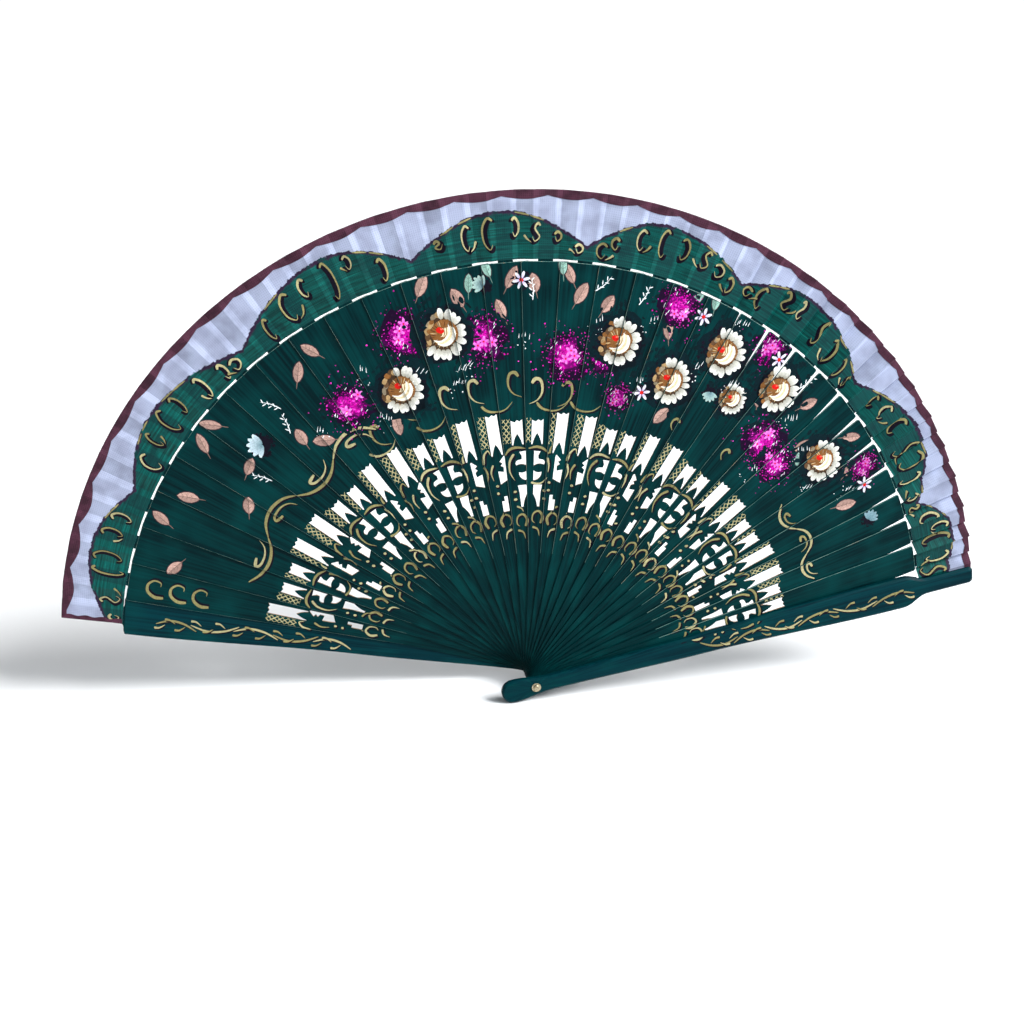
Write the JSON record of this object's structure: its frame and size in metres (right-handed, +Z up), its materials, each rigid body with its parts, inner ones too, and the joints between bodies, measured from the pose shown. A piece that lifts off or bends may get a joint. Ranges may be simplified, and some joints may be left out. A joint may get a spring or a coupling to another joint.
{
  "type": "folding hand fan",
  "caption": "Folding hand fan with pierced, painted wooden blades between two guards on one rivet and a narrow pleated cloth leaf, standing open.",
  "frame": {"origin": "centre of the rivet, on its axis, half-way through the stack of sticks", "axes": "+Z up, the middle of the open fan's spread; +X to the viewer's right, towards the front guard; -Y out of the painted front face; the rivet lies along Y"},
  "size_m": [0.4226, 0.0295, 0.2229],
  "materials": {
    "lacquered_blade": "dark green gloss lacquer over thin wood",
    "lacquered_guard": "dark green gloss lacquer, bevelled edges",
    "leaf_cloth": "thin plain-woven cloth, partly painted green",
    "edging_cloth": "maroon bias binding",
    "rivet_metal": "dull plated rivet and washers"
  },
  "bodies": {
    "rear_guard": {"rear_guard": "lacquered_guard", "rivet": "rivet_metal", "rear_washer": "rivet_metal", "front_washer": "rivet_metal", "leaf": "leaf_cloth", "leaf_edging": "edging_cloth"},
    "blade_01": {"blade_01": "lacquered_blade"},
    "blade_02": {"blade_02": "lacquered_blade"},
    "blade_03": {"blade_03": "lacquered_blade"},
    "blade_04": {"blade_04": "lacquered_blade"},
    "blade_05": {"blade_05": "lacquered_blade"},
    "blade_06": {"blade_06": "lacquered_blade"},
    "blade_07": {"blade_07": "lacquered_blade"},
    "blade_08": {"blade_08": "lacquered_blade"},
    "blade_09": {"blade_09": "lacquered_blade"},
    "blade_10": {"blade_10": "lacquered_blade"},
    "blade_11": {"blade_11": "lacquered_blade"},
    "blade_12": {"blade_12": "lacquered_blade"},
    "blade_13": {"blade_13": "lacquered_blade"},
    "blade_14": {"blade_14": "lacquered_blade"},
    "blade_15": {"blade_15": "lacquered_blade"},
    "blade_16": {"blade_16": "lacquered_blade"},
    "blade_17": {"blade_17": "lacquered_blade"},
    "blade_18": {"blade_18": "lacquered_blade"},
    "blade_19": {"blade_19": "lacquered_blade"},
    "blade_20": {"blade_20": "lacquered_blade"},
    "blade_21": {"blade_21": "lacquered_blade"},
    "blade_22": {"blade_22": "lacquered_blade"},
    "blade_23": {"blade_23": "lacquered_blade"},
    "blade_24": {"blade_24": "lacquered_blade"},
    "blade_25": {"blade_25": "lacquered_blade"},
    "blade_26": {"blade_26": "lacquered_blade"},
    "blade_27": {"blade_27": "lacquered_blade"},
    "blade_28": {"blade_28": "lacquered_blade"},
    "blade_29": {"blade_29": "lacquered_blade"},
    "blade_30": {"blade_30": "lacquered_blade"},
    "blade_31": {"blade_31": "lacquered_blade"},
    "front_guard": {"front_guard": "lacquered_guard"}
  },
  "joints": [
    {"name": "blade_01_turn", "type": "hinge", "parent": "rear_guard", "child": "blade_01", "pos_m": [0, 0, 0], "axis": [0, 1, 0], "range_deg": [-5.7, 0], "deforming": ["leaf", "leaf_edging"]},
    {"name": "blade_02_turn", "type": "hinge", "parent": "blade_01", "child": "blade_02", "pos_m": [0, 0, 0], "axis": [0, 1, 0], "range_deg": [-5.65, 0]},
    {"name": "blade_03_turn", "type": "hinge", "parent": "blade_02", "child": "blade_03", "pos_m": [0, 0, 0], "axis": [0, 1, 0], "range_deg": [-5.6, 0]},
    {"name": "blade_04_turn", "type": "hinge", "parent": "blade_03", "child": "blade_04", "pos_m": [0, 0, 0], "axis": [0, 1, 0], "range_deg": [-5.54, 0]},
    {"name": "blade_05_turn", "type": "hinge", "parent": "blade_04", "child": "blade_05", "pos_m": [0, 0, 0], "axis": [0, 1, 0], "range_deg": [-5.49, 0]},
    {"name": "blade_06_turn", "type": "hinge", "parent": "blade_05", "child": "blade_06", "pos_m": [0, 0, 0], "axis": [0, 1, 0], "range_deg": [-5.44, 0]},
    {"name": "blade_07_turn", "type": "hinge", "parent": "blade_06", "child": "blade_07", "pos_m": [0, 0, 0], "axis": [0, 1, 0], "range_deg": [-5.39, 0]},
    {"name": "blade_08_turn", "type": "hinge", "parent": "blade_07", "child": "blade_08", "pos_m": [0, 0, 0], "axis": [0, 1, 0], "range_deg": [-5.34, 0]},
    {"name": "blade_09_turn", "type": "hinge", "parent": "blade_08", "child": "blade_09", "pos_m": [0, 0, 0], "axis": [0, 1, 0], "range_deg": [-5.28, 0]},
    {"name": "blade_10_turn", "type": "hinge", "parent": "blade_09", "child": "blade_10", "pos_m": [0, 0, 0], "axis": [0, 1, 0], "range_deg": [-5.23, 0]},
    {"name": "blade_11_turn", "type": "hinge", "parent": "blade_10", "child": "blade_11", "pos_m": [0, 0, 0], "axis": [0, 1, 0], "range_deg": [-5.18, 0]},
    {"name": "blade_12_turn", "type": "hinge", "parent": "blade_11", "child": "blade_12", "pos_m": [0, 0, 0], "axis": [0, 1, 0], "range_deg": [-5.13, 0]},
    {"name": "blade_13_turn", "type": "hinge", "parent": "blade_12", "child": "blade_13", "pos_m": [0, 0, 0], "axis": [0, 1, 0], "range_deg": [-5.08, 0]},
    {"name": "blade_14_turn", "type": "hinge", "parent": "blade_13", "child": "blade_14", "pos_m": [0, 0, 0], "axis": [0, 1, 0], "range_deg": [-5.02, 0]},
    {"name": "blade_15_turn", "type": "hinge", "parent": "blade_14", "child": "blade_15", "pos_m": [0, 0, 0], "axis": [0, 1, 0], "range_deg": [-4.97, 0]},
    {"name": "blade_16_turn", "type": "hinge", "parent": "blade_15", "child": "blade_16", "pos_m": [0, 0, 0], "axis": [0, 1, 0], "range_deg": [-4.92, 0]},
    {"name": "blade_17_turn", "type": "hinge", "parent": "blade_16", "child": "blade_17", "pos_m": [0, 0, 0], "axis": [0, 1, 0], "range_deg": [-4.87, 0]},
    {"name": "blade_18_turn", "type": "hinge", "parent": "blade_17", "child": "blade_18", "pos_m": [0, 0, 0], "axis": [0, 1, 0], "range_deg": [-4.82, 0]},
    {"name": "blade_19_turn", "type": "hinge", "parent": "blade_18", "child": "blade_19", "pos_m": [0, 0, 0], "axis": [0, 1, 0], "range_deg": [-4.76, 0]},
    {"name": "blade_20_turn", "type": "hinge", "parent": "blade_19", "child": "blade_20", "pos_m": [0, 0, 0], "axis": [0, 1, 0], "range_deg": [-4.71, 0]},
    {"name": "blade_21_turn", "type": "hinge", "parent": "blade_20", "child": "blade_21", "pos_m": [0, 0, 0], "axis": [0, 1, 0], "range_deg": [-4.66, 0]},
    {"name": "blade_22_turn", "type": "hinge", "parent": "blade_21", "child": "blade_22", "pos_m": [0, 0, 0], "axis": [0, 1, 0], "range_deg": [-4.61, 0]},
    {"name": "blade_23_turn", "type": "hinge", "parent": "blade_22", "child": "blade_23", "pos_m": [0, 0, 0], "axis": [0, 1, 0], "range_deg": [-4.56, 0]},
    {"name": "blade_24_turn", "type": "hinge", "parent": "blade_23", "child": "blade_24", "pos_m": [0, 0, 0], "axis": [0, 1, 0], "range_deg": [-4.5, 0]},
    {"name": "blade_25_turn", "type": "hinge", "parent": "blade_24", "child": "blade_25", "pos_m": [0, 0, 0], "axis": [0, 1, 0], "range_deg": [-4.45, 0]},
    {"name": "blade_26_turn", "type": "hinge", "parent": "blade_25", "child": "blade_26", "pos_m": [0, 0, 0], "axis": [0, 1, 0], "range_deg": [-4.4, 0]},
    {"name": "blade_27_turn", "type": "hinge", "parent": "blade_26", "child": "blade_27", "pos_m": [0, 0, 0], "axis": [0, 1, 0], "range_deg": [-4.35, 0]},
    {"name": "blade_28_turn", "type": "hinge", "parent": "blade_27", "child": "blade_28", "pos_m": [0, 0, 0], "axis": [0, 1, 0], "range_deg": [-4.3, 0]},
    {"name": "blade_29_turn", "type": "hinge", "parent": "blade_28", "child": "blade_29", "pos_m": [0, 0, 0], "axis": [0, 1, 0], "range_deg": [-4.24, 0]},
    {"name": "blade_30_turn", "type": "hinge", "parent": "blade_29", "child": "blade_30", "pos_m": [0, 0, 0], "axis": [0, 1, 0], "range_deg": [-4.19, 0]},
    {"name": "blade_31_turn", "type": "hinge", "parent": "blade_30", "child": "blade_31", "pos_m": [0, 0, 0], "axis": [0, 1, 0], "range_deg": [-4.14, 0]},
    {"name": "front_guard_turn", "type": "hinge", "parent": "blade_31", "child": "front_guard", "pos_m": [0, 0, 0], "axis": [0, 1, 0], "range_deg": [-4.09, 0]}
  ],
  "couplings": [
    {"joint": "blade_02_turn", "follows": "blade_01_turn", "ratio": 0.99088},
    {"joint": "blade_03_turn", "follows": "blade_01_turn", "ratio": 0.98175},
    {"joint": "blade_04_turn", "follows": "blade_01_turn", "ratio": 0.97263},
    {"joint": "blade_05_turn", "follows": "blade_01_turn", "ratio": 0.96351},
    {"joint": "blade_06_turn", "follows": "blade_01_turn", "ratio": 0.95439},
    {"joint": "blade_07_turn", "follows": "blade_01_turn", "ratio": 0.94526},
    {"joint": "blade_08_turn", "follows": "blade_01_turn", "ratio": 0.93614},
    {"joint": "blade_09_turn", "follows": "blade_01_turn", "ratio": 0.92702},
    {"joint": "blade_10_turn", "follows": "blade_01_turn", "ratio": 0.9179},
    {"joint": "blade_11_turn", "follows": "blade_01_turn", "ratio": 0.90877},
    {"joint": "blade_12_turn", "follows": "blade_01_turn", "ratio": 0.89965},
    {"joint": "blade_13_turn", "follows": "blade_01_turn", "ratio": 0.89053},
    {"joint": "blade_14_turn", "follows": "blade_01_turn", "ratio": 0.88141},
    {"joint": "blade_15_turn", "follows": "blade_01_turn", "ratio": 0.87228},
    {"joint": "blade_16_turn", "follows": "blade_01_turn", "ratio": 0.86316},
    {"joint": "blade_17_turn", "follows": "blade_01_turn", "ratio": 0.85404},
    {"joint": "blade_18_turn", "follows": "blade_01_turn", "ratio": 0.84492},
    {"joint": "blade_19_turn", "follows": "blade_01_turn", "ratio": 0.83579},
    {"joint": "blade_20_turn", "follows": "blade_01_turn", "ratio": 0.82667},
    {"joint": "blade_21_turn", "follows": "blade_01_turn", "ratio": 0.81755},
    {"joint": "blade_22_turn", "follows": "blade_01_turn", "ratio": 0.80843},
    {"joint": "blade_23_turn", "follows": "blade_01_turn", "ratio": 0.7993},
    {"joint": "blade_24_turn", "follows": "blade_01_turn", "ratio": 0.79018},
    {"joint": "blade_25_turn", "follows": "blade_01_turn", "ratio": 0.78106},
    {"joint": "blade_26_turn", "follows": "blade_01_turn", "ratio": 0.77193},
    {"joint": "blade_27_turn", "follows": "blade_01_turn", "ratio": 0.76281},
    {"joint": "blade_28_turn", "follows": "blade_01_turn", "ratio": 0.75369},
    {"joint": "blade_29_turn", "follows": "blade_01_turn", "ratio": 0.74457},
    {"joint": "blade_30_turn", "follows": "blade_01_turn", "ratio": 0.73544},
    {"joint": "blade_31_turn", "follows": "blade_01_turn", "ratio": 0.72632},
    {"joint": "front_guard_turn", "follows": "blade_01_turn", "ratio": 0.7172}
  ]
}
